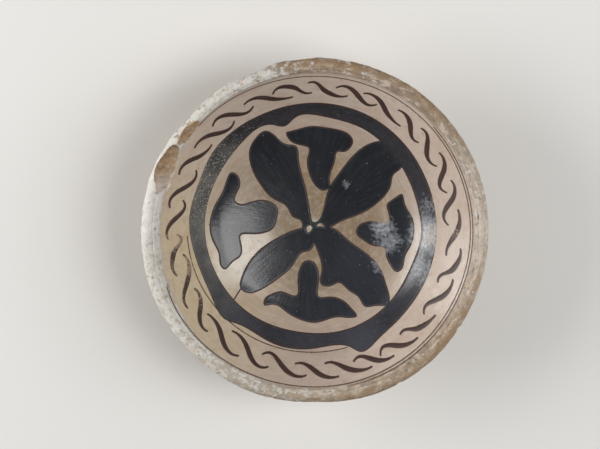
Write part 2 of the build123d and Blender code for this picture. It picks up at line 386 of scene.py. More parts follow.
def turn_on_wheel(bm, steps):
    """Spins the profile about the pot's axis into a closed solid."""
    bmesh.ops.spin(bm, geom=bm.verts[:] + bm.edges[:], cent=(0, 0, 0), axis=(0, 0, 1),
                   angle=math.tau, steps=steps, use_merge=True)
    bmesh.ops.remove_doubles(bm, verts=bm.verts, dist=weld)
    bmesh.ops.recalc_face_normals(bm, faces=bm.faces)


print("points nearer than %.3f mm are merged" % (weld / MM))

# %% Trace the pot's own faces
# The steps are those of the floor, the knee and the wall


def up_the_inside(bm, lift, steps):
    """Traces the inner face from the axis to the lip, this far above the clay."""
    tip = bm.verts.new((0, 0, floor_centre.z - floor_bend + lift))
    tip = arc_on(bm, tip, floor_centre, -floor_slope, steps[0])
    tip = arc_on(bm, tip, knee_centre, floor_slope - slope, steps[1])
    return line_on(bm, tip, -down_wall * wall_length, steps[2])


def back_down(bm, tip, steps):
    """Traces a face that runs parallel to the inner one, from the lip back to the axis."""
    tip = line_on(bm, tip, down_wall * wall_length, steps[2])
    tip = arc_on(bm, tip, knee_centre, slope - floor_slope, steps[1])
    return arc_on(bm, tip, floor_centre, floor_slope, steps[0])


print("straight wall: %.1f mm" % (wall_length / MM))

# %% [markdown]
# ## The worn lip
#
# The lip was never painted. It carries remains of the slip, with ochre stains on the right and at the top,
# white lime from the ground on the left, and dirt in the pits. On the left the white is partly a painted
# light from that side. Clay and slip meet on it, so both finishes share these functions. A colour ramp that
# runs once round the pot could hold the whole look, but it would show as smooth stripes. Here ramps set the
# ground colour and how much of each layer there is, and noise breaks the layers up.

# %% Remains of slip on the lip
remains_width = 2.2


def lip_ground(tree, compass, fine, along_rim):
    """The lip's own colour round the pot, with dark pores and pale remains of the slip."""
    lip = add(tree, "ShaderNodeValToRGB", {"Fac": compass}, stops=[
        (0.0, "#b8b0a4"), (0.08, "#b3a99b"), (0.17, "#aca191"), (0.25, "#a1907b"), (0.36, "#a4927d"),
        (0.44, "#b4a28e"), (0.5, "#c2b3a3"), (0.56, "#ae9f8e"), (0.62, "#96836f"), (0.71, "#917e6a"),
        (0.77, "#84705d"), (0.83, "#b3aba0"), (0.92, "#c4bdb3"), (1.0, "#b8b0a4")]).outputs["Color"]
    shade = add(tree, "ShaderNodeMapRange", {0: fine, 1: 0.46, 2: 0.6, 3: 0.0, 4: 0.65}).outputs[0]
    lip = add(tree, "ShaderNodeMix", {0: shade, 6: lip, 7: "#74665a"}, data_type="RGBA").outputs[2]
    # The remains lie in streaks along the rim, longer than they are wide
    remains = add(tree, "ShaderNodeTexNoise", {"Vector": along_rim, "Scale": per(remains_width),
                                               "Detail": 7.0, "Roughness": 0.65}).outputs["Fac"]
    remains = add(tree, "ShaderNodeMapRange", {0: remains, 1: 0.5, 2: 0.6, 3: 0.0, 4: 0.6}).outputs[0]
    return add(tree, "ShaderNodeMix", {0: remains, 6: lip, 7: "#d3c6b8"}, data_type="RGBA").outputs[2]


print("slip remains about %.1f mm wide" % remains_width)

# %% Stains on the lip
stain_width = 3.5


def stained(tree, lip, compass, radius, along_rim):
    """Lays ochre stains over the lip, mostly on its outer half, at the lower right and the top."""
    outer = add(tree, "ShaderNodeMapRange", {0: radius, 1: 70 * MM, 2: 73 * MM, 3: 0.0, 4: 0.25}).outputs[0]
    ochre = add(tree, "ShaderNodeValToRGB", {"Fac": compass}, stops=[
        (0.0, 0.0), (0.18, 0.1), (0.28, 0.25), (0.40, 0.35), (0.48, 0.15), (0.55, 0.05), (0.62, 0.3),
        (0.70, 0.3), (0.76, 0.4), (0.81, 0.1), (1.0, 0.0)]).outputs["Color"]
    blotch = add(tree, "ShaderNodeTexNoise", {"Vector": along_rim, "Scale": per(stain_width),
                                              "Detail": 7.0, "Roughness": 0.7}).outputs["Fac"]
    stain = add(tree, "ShaderNodeMath", {0: blotch, 1: ochre}, operation="ADD").outputs[0]
    stain = add(tree, "ShaderNodeMath", {0: stain, 1: outer}, operation="ADD").outputs[0]
    stain = add(tree, "ShaderNodeMapRange", {0: stain, 1: 0.86, 2: 1.1, 3: 0.0, 4: 0.7}).outputs[0]
    return add(tree, "ShaderNodeMix", {0: stain, 6: lip, 7: "#91734f"}, data_type="RGBA").outputs[2]


print("stains about %.1f mm wide" % stain_width)

# %% Lime and dirt on the lip
dirt_width = 2.6


def crusted(tree, lip, compass, fine, patch):
    """Lays a crust of white lime over the lip, mostly on the left, where the white is partly a painted
    light from that side.
    """
    lime_and_left_light = add(tree, "ShaderNodeValToRGB", {"Fac": compass}, stops=[
        (0.0, 0.44), (0.06, 0.42), (0.15, 0.40), (0.23, 0.34), (0.35, 0.24), (0.47, 0.32), (0.53, 0.35),
        (0.60, 0.28), (0.66, 0.22), (0.72, 0.34), (0.75, 0.3), (0.80, 0.42), (0.90, 0.46),
        (1.0, 0.44)]).outputs["Color"]
    crust = add(tree, "ShaderNodeMath", {0: patch, 1: lime_and_left_light}, operation="ADD").outputs[0]
    crust = add(tree, "ShaderNodeMapRange", {0: crust, 1: 0.86, 2: 0.95, 3: 0.0, 4: 0.92}).outputs[0]
    white = add(tree, "ShaderNodeMix", {0: fine, 6: "#f0eee9", 7: "#b4aea4"}, data_type="RGBA").outputs[2]
    return add(tree, "ShaderNodeMix", {0: crust, 6: lip, 7: white}, data_type="RGBA").outputs[2]


def dirtied(tree, lip, here):
    """Lays dark specks of dirt over the lip. Real specks are finer, and these are drawn to show."""
    dirt = add(tree, "ShaderNodeTexNoise", {"Vector": here, "Scale": per(dirt_width),
                                            "Detail": 6.0}).outputs["Fac"]
    dirt = add(tree, "ShaderNodeMapRange", {0: dirt, 1: 0.59, 2: 0.72, 3: 0.0, 4: 0.7}).outputs[0]
    return add(tree, "ShaderNodeMix", {0: dirt, 6: lip, 7: "#5f574b"}, data_type="RGBA").outputs[2]


print("specks of dirt about %.1f mm wide" % dirt_width)

# %% The whole look of the lip
lip_streak_turn = 30 * MM
crust_width = 3.0


def lip_look(tree, here):
    """Colour of the worn lip, and the patchy relief of its crust."""
    fine = add(tree, "ShaderNodeTexNoise", {"Vector": here, "Scale": per(crust_width),
                                            "Detail": 7.0, "Roughness": 0.65}).outputs["Fac"]
    patch = add(tree, "ShaderNodeTexNoise", {"Vector": here, "Scale": per(crust_width),
                                             "Detail": 8.0, "Roughness": 0.72}).outputs["Fac"]
    radius, heading = plan(tree, here)[1:]
    # The gradient runs once round the pot: from the left, through the front and the right to the back
    compass = add(tree, "ShaderNodeTexGradient", {"Vector": here}, gradient_type="RADIAL").outputs["Fac"]
    along_rim = streaks(tree, heading, lip_streak_turn, radius)
    lip = lip_ground(tree, compass, fine, along_rim)
    lip = stained(tree, lip, compass, radius, along_rim)
    lip = crusted(tree, lip, compass, fine, patch)
    return dirtied(tree, lip, here), patch


print("streaks on the lip are %.1f times as long as wide" % (rim_radius / lip_streak_turn))

# %% [markdown]
# ## The fired clay
#
# The clay is a buff earthenware with fine sand in it. On the outside the turning tool has left
# fine level marks, and the chips show clean, warmer clay. The marks could all be modelled as
# grooves, but they are too shallow to change an outline. The shader draws them, and the mesh has
# only faint rings. The chips are real hollows, and each vertex of the body stores how bare the clay
# is there, which the shader reads as "bare".

# %% Clay colour
# Unglazed clay is matt: its pores spread the light, so the eye gets an even tone with hardly a
# highlight, broken by grains of sand and by level marks of the tool
clay, tree, shader, here = new_material("Buff earthenware, turned and fired")
split = add(tree, "ShaderNodeSeparateXYZ", {"Vector": here})
cloud = add(tree, "ShaderNodeTexNoise", {"Vector": here, "Scale": per(20), "Detail": 4.0}).outputs["Fac"]
fine = add(tree, "ShaderNodeTexNoise", {"Vector": here, "Scale": per(2.2), "Detail": 6.0}).outputs["Fac"]
# Real sand is about 0.2 mm, and is drawn coarser so that it shows
sand = add(tree, "ShaderNodeTexNoise", {"Vector": here, "Scale": per(0.9), "Detail": 2.0}).outputs["Fac"]
# Squeezed along the level, one blotch becomes a mark that runs round the pot
level = add(tree, "ShaderNodeVectorMath", {0: here, 1: (0.04, 0.04, 1.0)}, operation="MULTIPLY").outputs[0]
tool = add(tree, "ShaderNodeTexNoise", {"Vector": level, "Scale": per(1.5), "Detail": 3.0}).outputs["Fac"]
body = add(tree, "ShaderNodeMix", {0: cloud, 6: "#ac9174", 7: "#8f7459"}, data_type="RGBA").outputs[2]
tool_mark = add(tree, "ShaderNodeMapRange", {0: tool, 1: 0.45, 2: 0.75, 3: 0.0, 4: 0.35}).outputs[0]
body = add(tree, "ShaderNodeMix", {0: tool_mark, 6: body, 7: "#7c5f47"}, data_type="RGBA").outputs[2]
grit = add(tree, "ShaderNodeMapRange", {0: sand, 1: 0.66, 2: 0.74, 3: 0.0, 4: 0.6}).outputs[0]
body = add(tree, "ShaderNodeMix", {0: grit, 6: body, 7: "#5e4736"}, data_type="RGBA").outputs[2]
print("clay colour nodes:", len(tree.nodes))

# %% Clay on the lip and in the chips
# The slip and the stains fade out in a ragged edge below the lip
ragged = add(tree, "ShaderNodeMath", {0: cloud, 1: 9 * MM, 2: split.outputs["Z"]},
             operation="MULTIPLY_ADD").outputs[0]
on_lip = add(tree, "ShaderNodeMapRange", {0: ragged, 1: 40 * MM, 2: 42.5 * MM}).outputs[0]
lip, patch = lip_look(tree, here)
seen = add(tree, "ShaderNodeMix", {0: on_lip, 6: body, 7: lip}, data_type="RGBA").outputs[2]
bare = add(tree, "ShaderNodeAttribute", attribute_name="bare").outputs["Fac"]
warmth = add(tree, "ShaderNodeMapRange", {0: patch, 1: 0.3, 2: 0.7}).outputs[0]
fresh = add(tree, "ShaderNodeMix", {0: warmth, 6: "#bb9b77", 7: "#6f5843"}, data_type="RGBA").outputs[2]
dust = add(tree, "ShaderNodeMapRange", {0: fine, 1: 0.5, 2: 0.64, 3: 0.0, 4: 0.6}).outputs[0]
fresh = add(tree, "ShaderNodeMix", {0: dust, 6: fresh, 7: "#b5aa98"}, data_type="RGBA").outputs[2]
# The lower end of the long chip is thinly crusted over again
open_clay = add(tree, "ShaderNodeMapRange", {0: split.outputs["Y"], 1: 21 * MM, 2: 27 * MM,
                                             3: 0.55, 4: 1.0}).outputs[0]
bare = add(tree, "ShaderNodeMath", {0: bare, 1: open_clay}, operation="MULTIPLY").outputs[0]
seen = add(tree, "ShaderNodeMix", {0: bare, 6: seen, 7: fresh}, data_type="RGBA").outputs[2]
tree.links.new(seen, shader.inputs["Base Color"])
print("clay nodes with the lip and the chips:", len(tree.nodes))

# %% Clay surface
# Heights of the grains of sand, the tool marks and the lime crust
sand_height = 0.12 * MM
tool_height = 0.25 * MM
crust_height = 0.6 * MM
crust_relief = {"Strength": 0.8, "Distance": crust_height}
shader.inputs["Roughness"].default_value = 0.72
grain = add(tree, "ShaderNodeBump", {"Height": sand, "Strength": 0.5, "Distance": sand_height}).outputs[0]
grain = add(tree, "ShaderNodeBump", {"Height": tool, "Strength": 0.5, "Distance": tool_height,
                                     "Normal": grain}).outputs[0]
grain = add(tree, "ShaderNodeBump", {"Height": patch, **crust_relief, "Normal": grain}).outputs[0]
tree.links.new(grain, shader.inputs["Normal"])
print("clay nodes:", len(tree.nodes))

# %% [markdown]
# ## The clay body
#
# The wall is traced up the inside, over the round lip and back down the outside, and turned. Near
# the chips the mesh is cut finer, so the broken faces can be rough. Lime and wear have pitted the
# lip. A displacement modifier could do that, but moving the vertices here keeps the pits out of the
# chips and lets the wear carry them along.

# %% Turn the body
bm = bmesh.new()
tip = up_the_inside(bm, 0, (12, 8, 8))
tip = arc_on(bm, tip, lip_centre, math.pi, 20)
back_down(bm, tip, (14, 14, 26))
turn_on_wheel(bm, 600)


def by_the_chips(point):
    """Whether a point lies in the upper left part of the lip, where the chips are."""
    return point.z > 33 * MM and point.x < -45 * MM and point.y > 12 * MM


chip_edges = [edge for edge in bm.edges if all(by_the_chips(v.co) for v in edge.verts)]
bmesh.ops.subdivide_edges(bm, edges=chip_edges, cuts=2, use_grid_fill=True)
bm.normal_update()
print("body turned:", len(bm.verts), "points")

# %% Wear the body
# The pits start below the lip and are full on it
pits_start = 37 * MM
pits_full = 41 * MM
bare_layer = bm.verts.layers.float.new("bare")
for vertex in bm.verts:
    start = vertex.co.copy()
    outward = vertex.normal.copy()
    on_rim = smooth(start.z, pits_start, pits_full)
    # Depths in millimetres of the small pits, the few deep ones and the turning rings
    pits = 0.16 * noise.fractal(start / (3.0 * MM), 0.8, 2.0, 4) + 0.14
    deep = 0.6 * smooth(noise.noise(start / (4.5 * MM)), 0.4, 0.75)
    ring = 0.05 * noise.noise(Vector((start.x * 2, start.y * 2, start.z * 330)))
    point, vertex[bare_layer] = chipped(start, 0)
    if vertex[bare_layer] < 0.5:
        point = point - outward * (max(pits, 0) + deep) * on_rim * MM
    if outward.z < 0:
        point = point - outward * (0.05 + ring) * (1 - on_rim) * MM
    vertex.co = settle(point)
body_piece = place(bm, "bowl_clay", clay, "clay", "bowl_body")
print("body:", len(body_piece.data.polygons), "faces")

# %% [markdown]
# ## The foot
#
# A ring of the same clay was joined on under the floor and turned true. It leans out a little as
# it goes down, its edges are softened, and its top is pressed into the underside. A cylinder with
# a hole could stand in for it, but a turned profile gives the lean at once.

# %% Turn the foot
low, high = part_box("foot_ring")
foot_width = 6 * MM
foot_edge = 0.8 * MM
lean_out = math.tan(math.radians(9))
# Kept this far above the bottom of the CAD's box
clear = 0.002 * MM
foot_height = high.z - low.z - clear
bm = bmesh.new()
corner = bm.verts.new((high.x - foot_width, 0, low.z + clear))
corner = line_on(bm, corner, Vector((foot_width, 0, 0)), 4)
corner = line_on(bm, corner, Vector((-lean_out, 0, 1)) * foot_height, 8)
corner = line_on(bm, corner, Vector((-foot_width, 0, 0)), 4)
line_on(bm, corner, Vector((lean_out, 0, -1)) * foot_height, 8)
turn_on_wheel(bm, 360)
square = math.radians(60)
corners = [edge for edge in bm.edges
           if edge.calc_face_angle(0) > square and edge.verts[0].co.z < low.z + 1e-5]
bmesh.ops.bevel(bm, geom=corners, offset=foot_edge, segments=4, profile=0.5, affect="EDGES", material=-1)
# The clay reads how bare it is, and the foot isn't chipped
bm.verts.layers.float.new("bare")
foot_piece = place(bm, "foot", clay, "clay", "foot_ring")
print("foot:", len(foot_piece.data.polygons), "faces")

# %% [markdown]
# ## The look of the slip
#
# Slip is clay thinned to cream. This one was poured in and wiped smooth on the wheel, so it is palest on
# the wall and thin and brown over the middle of the floor, with faint wiping marks. One flat colour would
# look like plastic. The finish is built as the years built it: a ground, pale and brown places, streaks,
# and specks on top, and beside the left bud a pale place that is a painted highlight.

# %% Slip patterns
# Wiped slip is fine and close, so it takes a soft sheen: the eye gets broad, blurred highlights
# that break up at streaks and specks
slip, tree, shader, here = new_material("Pale slip, poured and wiped smooth")
cloud = add(tree, "ShaderNodeTexNoise", {"Vector": here, "Scale": per(16), "Detail": 5.0}).outputs["Fac"]
fine = add(tree, "ShaderNodeTexNoise", {"Vector": here, "Scale": per(2.5), "Detail": 6.0}).outputs["Fac"]
# Real specks are about 0.3 mm, and wiping marks finer still, so both are drawn coarser
speck = add(tree, "ShaderNodeTexNoise", {"Vector": here, "Scale": per(1.0), "Detail": 2.0}).outputs["Fac"]
flat, radius, heading = plan(tree, here)
wiped = streaks(tree, heading, 12 * MM, radius)
streak = add(tree, "ShaderNodeTexNoise", {"Vector": wiped, "Scale": per(1.6), "Detail": 4.0}).outputs["Fac"]
print("slip pattern nodes:", len(tree.nodes))

# %% Slip ground
# The floor is brown and the wall pale, with a ragged change between them and a yellower left side
ragged = add(tree, "ShaderNodeMath", {0: cloud, 1: 16 * MM, 2: radius}, operation="MULTIPLY_ADD").outputs[0]
on_wall = add(tree, "ShaderNodeMapRange", {0: ragged, 1: 34 * MM, 2: 62 * MM}).outputs[0]
yellow = spot(tree, flat, -58, -20, 65, 15, 1.0)
wall_tone = add(tree, "ShaderNodeMix", {0: yellow, 6: "#c4b3a5", 7: "#c8b697"}, data_type="RGBA").outputs[2]
seen = add(tree, "ShaderNodeMix", {0: on_wall, 6: "#8a7862", 7: wall_tone}, data_type="RGBA").outputs[2]
# A paler place in the middle of the flower, and a browner one at the front of the wall. The two pale places
# between the left bud and the petal below it are a painted highlight, the sheen of the lamps on the slip.
slip_tones_and_sheen = [(0, -1, 4.5, 0.5, "#ddd3c4"), (-27, -10, 13, 0.85, "#ddd3c4"),
               (-38, -21, 12, 0.6, "#ddd3c4"), (0, -64, 34, 0.5, "#a39084")]
seen = tinted(tree, flat, seen, slip_tones_and_sheen, 0.4)
print("slip places:", len(slip_tones_and_sheen))

# %% Slip streaks and specks
warm = add(tree, "ShaderNodeMapRange", {0: cloud, 1: 0.5, 2: 0.72, 3: 0.0, 4: 0.3}).outputs[0]
seen = add(tree, "ShaderNodeMix", {0: warm, 6: seen, 7: "#a98468"}, data_type="RGBA").outputs[2]
pale = add(tree, "ShaderNodeMapRange", {0: streak, 1: 0.45, 2: 0.75, 3: 0.0, 4: 0.3}).outputs[0]
seen = add(tree, "ShaderNodeMix", {0: pale, 6: seen, 7: "#d2c6b8"}, data_type="RGBA").outputs[2]
dull = add(tree, "ShaderNodeMapRange", {0: fine, 1: 0.5, 2: 0.8, 3: 0.0, 4: 0.4}).outputs[0]
seen = add(tree, "ShaderNodeMix", {0: dull, 6: seen, 7: "#85705c"}, data_type="RGBA").outputs[2]
dot = add(tree, "ShaderNodeMapRange", {0: speck, 1: 0.69, 2: 0.76, 3: 0.0, 4: 0.6}).outputs[0]
seen = add(tree, "ShaderNodeMix", {0: dot, 6: seen, 7: "#54402f"}, data_type="RGBA").outputs[2]
print("slip nodes with streaks and specks:", len(tree.nodes))

# %% Slip on the lip, and its surface
# Beyond the rim line the slip is as worn as the lip, and on the left the wear creeps further in
lip, patch = lip_look(tree, here)
split = add(tree, "ShaderNodeSeparateXYZ", {"Vector": here})
creep = add(tree, "ShaderNodeMapRange", {0: split.outputs["X"], 1: -50 * MM, 2: -66 * MM,
                                         3: 1.6 * MM, 4: 5 * MM}).outputs[0]
ragged = add(tree, "ShaderNodeMath", {0: patch, 1: creep, 2: radius}, operation="MULTIPLY_ADD").outputs[0]
on_lip = add(tree, "ShaderNodeMapRange", {0: ragged, 1: 68.7 * MM, 2: 69.9 * MM}).outputs[0]
seen = add(tree, "ShaderNodeMix", {0: on_lip, 6: seen, 7: lip}, data_type="RGBA").outputs[2]
tree.links.new(seen, shader.inputs["Base Color"])
gloss = add(tree, "ShaderNodeMapRange", {0: fine, 1: 0.3, 2: 0.7, 3: 0.2, 4: 0.32}).outputs[0]
gloss = add(tree, "ShaderNodeMix", {0: on_lip, 2: gloss, 3: 0.72}).outputs[0]
tree.links.new(gloss, shader.inputs["Roughness"])
relief = add(tree, "ShaderNodeMath", {0: patch, 1: on_lip}, operation="MULTIPLY").outputs[0]
grain = add(tree, "ShaderNodeBump", {"Height": streak, "Strength": 0.35, "Distance": 0.12 * MM}).outputs[0]
grain = add(tree, "ShaderNodeBump", {"Height": fine, "Strength": 0.35, "Distance": 0.15 * MM,
                                     "Normal": grain}).outputs[0]
grain = add(tree, "ShaderNodeBump", {"Height": relief, **crust_relief, "Normal": grain}).outputs[0]
tree.links.new(grain, shader.inputs["Normal"])
print("slip nodes:", len(tree.nodes))

# %% [markdown]
# ## The coat of slip
#
# The coat lies on the inner face and laps onto the lip, where it thins out to nothing. It could be
# a copy of the clay's inner faces made thicker. Tracing and turning it gives the thin end over
# the lip as well, and its own finer mesh for the ripples. Its end is sunk in the clay, so no gap
# shows.

# %% Turn the slip
slip_depth = 0.4 * MM
slip_lap = 0.9 * MM
sunk = 0.05 * MM
lap = slip_lap / lip_radius
lap_steps = 8
bm = bmesh.new()
tip = up_the_inside(bm, slip_depth, (36, 24, 28))
for step in range(1, lap_steps + 1):
    share = step / lap_steps
    off_clay = slip_depth * (1 - share ** 2) - sunk * share
    next_tip = lip_centre + into_hollow(slope - lap * share) * (lip_radius + off_clay)
    tip = line_on(bm, tip, next_tip - tip.co, 1)
tip = arc_on(bm, tip, lip_centre, -lap, 3)
back_down(bm, tip, (10, 8, 8))
turn_on_wheel(bm, 400)
bm.normal_update()
print("slip turned:", len(bm.verts), "points")

# %% Ripple and chip the slip
# In the chips the slip is sunk well below the broken clay
slip_sink = 0.5 * MM
for vertex in bm.verts:
    start = vertex.co.copy()
    ripple = 0.03 * noise.noise(start / (5 * MM)) + 0.03 if vertex.normal.z > 0 else 0
    vertex.co = settle(chipped(start - vertex.normal * ripple * MM, slip_sink)[0])
slip_piece = place(bm, "slip", slip, "slip", "slip_coat")
print("slip:", len(slip_piece.data.polygons), "faces")

# %% [markdown]
# ## The black paint
#
# Two paints were used, both iron-rich slips. The black one went on thick in the band and the flower, and
# turns brown where the brush left it thin along an edge. It is rubbed grey, and on the right nearly away,
# where hands and tools have scoured it along the strokes. Some of its grey is painted sheen instead: over
# the band, on its front and left, at the left bud and the lower left petal, and in part on the right of the
# band. The wear could be a mask painted by hand. Soft spots say where it is strong, and the brush marks and
# fine noise decide which grains of paint go first, so it follows the strokes as real wear does.

# %% Black paint brush marks
# Thick iron slip melts a little in the kiln: the eye gets a deep blue-black with clear highlights, and grey
# where the paint is rubbed and where a sheen is painted in
black, tree, shader, here = new_material("Thick iron-black slip paint, brushed")
edge = add(tree, "ShaderNodeAttribute", attribute_name="edge").outputs["Fac"]
cloud = add(tree, "ShaderNodeTexNoise", {"Vector": here, "Scale": per(9), "Detail": 5.0}).outputs["Fac"]
fine = add(tree, "ShaderNodeTexNoise", {"Vector": here, "Scale": per(1.4), "Detail": 5.0}).outputs["Fac"]
flat, radius, heading = plan(tree, here)
# Brush marks follow the turn on the band, and the length of the petals in the flower. Hairs leave
# marks about 0.3 mm apart, and these are drawn coarser so that they show
round_way = streaks(tree, heading, 14 * MM, radius)
hairs = {"Scale": per(0.9), "Detail": 4.0}
round_mark = add(tree, "ShaderNodeTexNoise", {"Vector": round_way, **hairs}).outputs["Fac"]
slow = add(tree, "ShaderNodeMath", {0: radius, 1: 0.12}, operation="MULTIPLY").outputs[0]
ray_way = streaks(tree, heading, 24 * MM, slow)
ray_mark = add(tree, "ShaderNodeTexNoise", {"Vector": ray_way, **hairs}).outputs["Fac"]
on_band = add(tree, "ShaderNodeMapRange", {0: radius, 1: 45 * MM, 2: 48 * MM}).outputs[0]
brush = add(tree, "ShaderNodeMix", {0: on_band, 2: ray_mark, 3: round_mark}).outputs[0]
print("black paint brush nodes:", len(tree.nodes))

# %% Black paint colour
flower = add(tree, "ShaderNodeMix", {0: cloud, 6: "#1b1d23", 7: "#292a2d"}, data_type="RGBA").outputs[2]
# The band is lighter than the flower, a painted sheen spread over the whole band
band = add(tree, "ShaderNodeMix", {0: cloud, 6: "#272a32", 7: "#363334"}, data_type="RGBA").outputs[2]
seen = add(tree, "ShaderNodeMix", {0: on_band, 6: flower, 7: band}, data_type="RGBA").outputs[2]
ridge = add(tree, "ShaderNodeMapRange", {0: brush, 1: 0.46, 2: 0.7, 3: 0.0, 4: 0.45}).outputs[0]
streaky = add(tree, "ShaderNodeMapRange", {0: on_band, 1: 0.0, 2: 1.0, 3: 0.4, 4: 1.0}).outputs[0]
ridge = add(tree, "ShaderNodeMath", {0: ridge, 1: streaky}, operation="MULTIPLY").outputs[0]
seen = add(tree, "ShaderNodeMix", {0: ridge, 6: seen, 7: "#424751"}, data_type="RGBA").outputs[2]
# A dusty film, partly a painted sheen, on the lower right of the flower, and a painted sheen on the front
# and the lower left of the band
dust_and_sheen_places = [(26, -20, 32, 0.5, "#383b43"), (21, -50, 15, 0.55, "#4c4f58"),
                (-2, -53, 22, 0.3, "#4c4f58"), (-36, -38, 20, 0.35, "#5a5c63")]
seen = tinted(tree, flat, seen, dust_and_sheen_places, 0.25)
# Thin brown edges, which wander a little, but not at the middle of the flower
wander = add(tree, "ShaderNodeMath", {0: fine, 1: -0.8 * MM, 2: edge}, operation="MULTIPLY_ADD").outputs[0]
thin = add(tree, "ShaderNodeMapRange", {0: wander, 1: -0.1 * MM, 2: 0.5 * MM, 3: 0.9, 4: 0.0}).outputs[0]
off_centre = add(tree, "ShaderNodeMapRange", {0: radius, 1: 4 * MM, 2: 8 * MM}).outputs[0]
thin = add(tree, "ShaderNodeMath", {0: thin, 1: off_centre}, operation="MULTIPLY").outputs[0]
seen = add(tree, "ShaderNodeMix", {0: thin, 6: seen, 7: "#3d271e"}, data_type="RGBA").outputs[2]
print("dusty places:", len(dust_and_sheen_places))

# %% Black paint wear and painted sheen
# The two soft spots at the left bud and the lower left petal are a painted sheen, and the one on the band
# at the right is partly a painted glint of the left lamp
rubbed_and_sheen_places = [(53, -4, 15, 0.95), (49, -20, 12, 0.6), (51, 9, 8, 0.5), (31.5, -2, 9, 0.8),
                 (34, -8, 9, 0.7), (29.5, -19, 8, 0.5), (15.2, 17.7, 3, 0.6), (-36, 1, 12, 0.25),
                 (-26, -20, 9, 0.25)]
worn = strongest(tree, flat, rubbed_and_sheen_places, 0.25)
scour = add(tree, "ShaderNodeMath", {0: brush, 1: 0.6, 2: worn}, operation="MULTIPLY_ADD").outputs[0]
scour = add(tree, "ShaderNodeMath", {0: fine, 1: 1.1, 2: scour}, operation="MULTIPLY_ADD").outputs[0]
rubbed = add(tree, "ShaderNodeMapRange", {0: scour, 1: 1.15, 2: 1.75, 3: 0.0, 4: 0.85}).outputs[0]
# The grey of rubbed paint is also the colour of the painted sheen
seen = add(tree, "ShaderNodeMix", {0: rubbed, 6: seen, 7: "#9b9ea4"}, data_type="RGBA").outputs[2]
gone = add(tree, "ShaderNodeMapRange", {0: scour, 1: 1.65, 2: 2.0, 3: 0.0, 4: 0.9}).outputs[0]
seen = add(tree, "ShaderNodeMix", {0: gone, 6: seen, 7: "#c0b6aa"}, data_type="RGBA").outputs[2]
print("rubbed places:", len(rubbed_and_sheen_places))

# %% Painted sheen, pinholes and flecks on the black paint
# A painted grey sheen on the left of the band
left = spot(tree, flat, -50, 4, 55, 18, 0.11)
left = add(tree, "ShaderNodeMath", {0: left, 1: on_band}, operation="MULTIPLY").outputs[0]
sheen_veil = add(tree, "ShaderNodeMath", {0: left, 1: cloud}, operation="MULTIPLY").outputs[0]
sheen_veil = add(tree, "ShaderNodeMapRange", {0: sheen_veil, 1: 0.015, 2: 0.07, 3: 0.0, 4: 0.65}).outputs[0]
seen = add(tree, "ShaderNodeMix", {0: sheen_veil, 6: seen, 7: "#757570"}, data_type="RGBA").outputs[2]
# Pinholes and flecks, thickest at the upper left. Real ones are about 0.3 mm, and these are drawn
# coarser so that they show
upper = spot(tree, flat, -46, 22, 45, 10, 0.14)
upper = add(tree, "ShaderNodeMath", {0: upper, 1: on_band}, operation="MULTIPLY").outputs[0]
pin = add(tree, "ShaderNodeTexNoise", {"Vector": here, "Scale": per(0.9), "Detail": 3.0}).outputs["Fac"]
fleck = add(tree, "ShaderNodeMath", {0: worn, 1: 0.1, 2: pin}, operation="MULTIPLY_ADD").outputs[0]
fleck = add(tree, "ShaderNodeMath", {0: fleck, 1: upper}, operation="ADD").outputs[0]
fleck = add(tree, "ShaderNodeMapRange", {0: fleck, 1: 0.7, 2: 0.77, 3: 0.0, 4: 0.7}).outputs[0]
seen = add(tree, "ShaderNodeMix", {0: fleck, 6: seen, 7: "#aba294"}, data_type="RGBA").outputs[2]
tree.links.new(seen, shader.inputs["Base Color"])
print("black paint colour nodes:", len(tree.nodes))

# %% Black paint surface
# The flower is a little glossier than the band, and thin edges are matt
gloss = add(tree, "ShaderNodeMapRange", {0: cloud, 1: 0.3, 2: 0.7, 3: 0.16, 4: 0.22}).outputs[0]
gloss = add(tree, "ShaderNodeMath", {0: on_band, 1: 0.08, 2: gloss}, operation="MULTIPLY_ADD").outputs[0]
matt = add(tree, "ShaderNodeMapRange", {0: edge, 1: 1.0 * MM, 2: 0.4 * MM}).outputs[0]
gloss = add(tree, "ShaderNodeMix", {0: matt, 2: gloss, 3: 0.7}).outputs[0]
tree.links.new(gloss, shader.inputs["Roughness"])
paint_relief = 0.12 * MM
grain = add(tree, "ShaderNodeBump", {"Height": fine, "Strength": 0.12, "Distance": paint_relief}).outputs[0]
grain = add(tree, "ShaderNodeBump", {"Height": brush, "Strength": 0.25, "Distance": paint_relief,
                                     "Normal": grain}).outputs[0]
tree.links.new(grain, shader.inputs["Normal"])
print("black paint nodes:", len(tree.nodes))

# %% [markdown]
# ## The brown paint
#
# The wave strokes and the lines are a thinner wash of the same kind. It could be the black paint
# made lighter, but it has its own wear: the strokes are rubbed mostly on the left, and their edges
# are thin. The slip shows through both as a paler brown.

# %% Brown paint material
# A thin wash soaks in, so the eye gets a dull brown with only a faint sheen
brown, tree, shader, here = new_material("Thin brown slip wash, brushed")
edge = add(tree, "ShaderNodeAttribute", attribute_name="edge").outputs["Fac"]
cloud = add(tree, "ShaderNodeTexNoise", {"Vector": here, "Scale": per(7), "Detail": 4.0}).outputs["Fac"]
fine = add(tree, "ShaderNodeTexNoise", {"Vector": here, "Scale": per(1.1), "Detail": 5.0}).outputs["Fac"]
flat = plan(tree, here)[0]
seen = add(tree, "ShaderNodeMix", {0: cloud, 6: "#2e201d", 7: "#4d3833"}, data_type="RGBA").outputs[2]
wander = add(tree, "ShaderNodeMath", {0: fine, 1: -0.7 * MM, 2: edge}, operation="MULTIPLY_ADD").outputs[0]
thin = add(tree, "ShaderNodeMapRange", {0: wander, 1: -0.45 * MM, 2: -0.1 * MM, 3: 0.6, 4: 0.0}).outputs[0]
